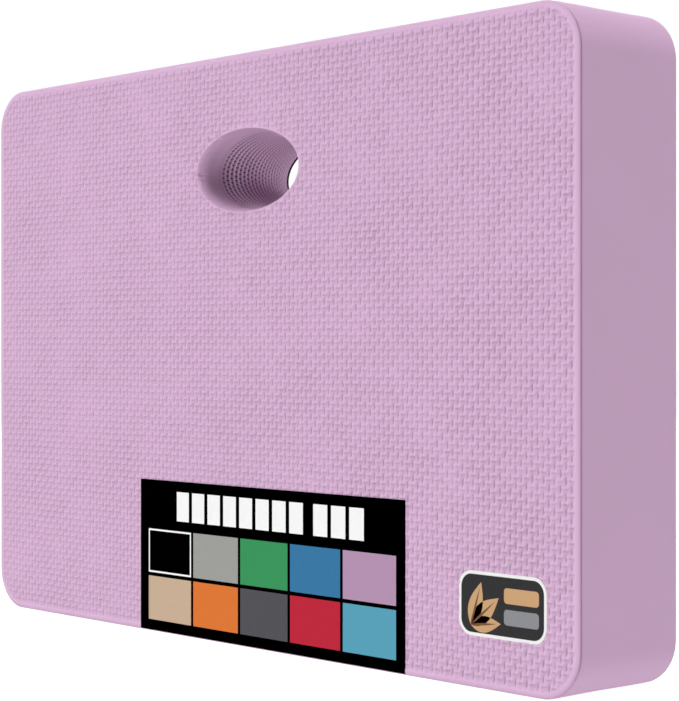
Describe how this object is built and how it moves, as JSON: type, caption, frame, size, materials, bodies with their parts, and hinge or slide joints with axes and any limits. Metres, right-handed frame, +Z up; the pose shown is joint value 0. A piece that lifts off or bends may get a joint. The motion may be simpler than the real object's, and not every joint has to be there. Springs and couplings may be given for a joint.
{
  "type": "kneeling pad",
  "caption": "Thick closed-cell foam kneeling pad with basket-weave faces, rounded corners, an oval hand hole, a printed colour chart and a small sticker.",
  "frame": {"origin": "middle of the bottom long edge that the pad stands on, midway through its thickness", "axes": "+X along the long edge, +Y through the thickness from the front kneeling face to the rear face, +Z up"},
  "size_m": [0.42, 0.061, 0.28],
  "materials": {
    "core_foam": "smooth cut closed-cell foam, matt with a faint grain",
    "patterned_skin": "matt foam skin moulded with a basket-weave grip pattern",
    "printed_label": "flat print: black with ten coloured swatches",
    "sticker": "satin vinyl with a white border, charcoal field and tan leaves"
  },
  "bodies": {
    "root": {"foam_core": "core_foam", "front_skin": "patterned_skin", "rear_skin": "patterned_skin", "colour_label": "printed_label", "leaf_sticker": "sticker"}
  },
  "joints": []
}
